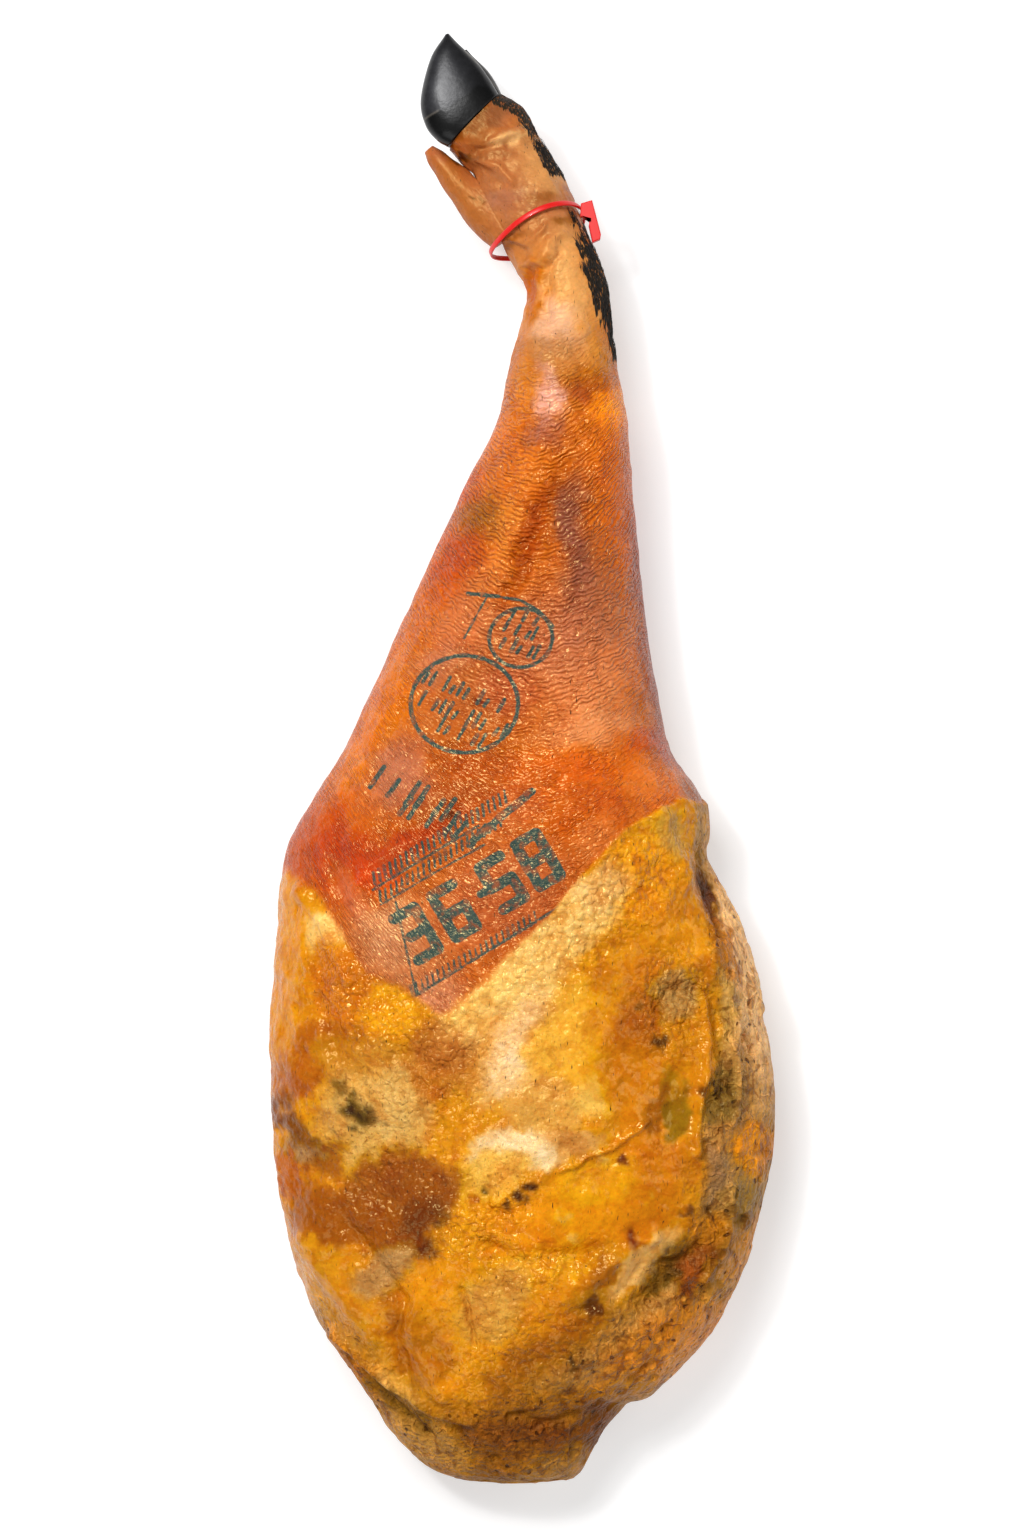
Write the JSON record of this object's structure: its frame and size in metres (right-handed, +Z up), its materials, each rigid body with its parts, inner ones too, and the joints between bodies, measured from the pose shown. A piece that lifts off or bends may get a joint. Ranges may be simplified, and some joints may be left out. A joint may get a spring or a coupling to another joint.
{
  "type": "whole cured ham",
  "caption": "Whole cured leg of ham with rind, fat cut in a V, black hoof and a red strap seal, lying on its flat inner side.",
  "frame": {"origin": "centre of the bounding box, at the floor that the ham lies on", "axes": "+Y from the butt to the hoof, +Z up from the flat inner side to the rind, +X to the side that the picture shows on the right"},
  "size_m": [0.2762, 0.78, 0.1065],
  "materials": {
    "ham": "oily cured rind, fat and dried meat, satin with glossy spots",
    "horn": "black horn with a dull sheen",
    "seal": "moulded red plastic"
  },
  "bodies": {
    "root": {"ham": "ham", "hoof_claw_front": "horn", "hoof_claw_back": "horn", "seal": "seal"}
  },
  "joints": []
}
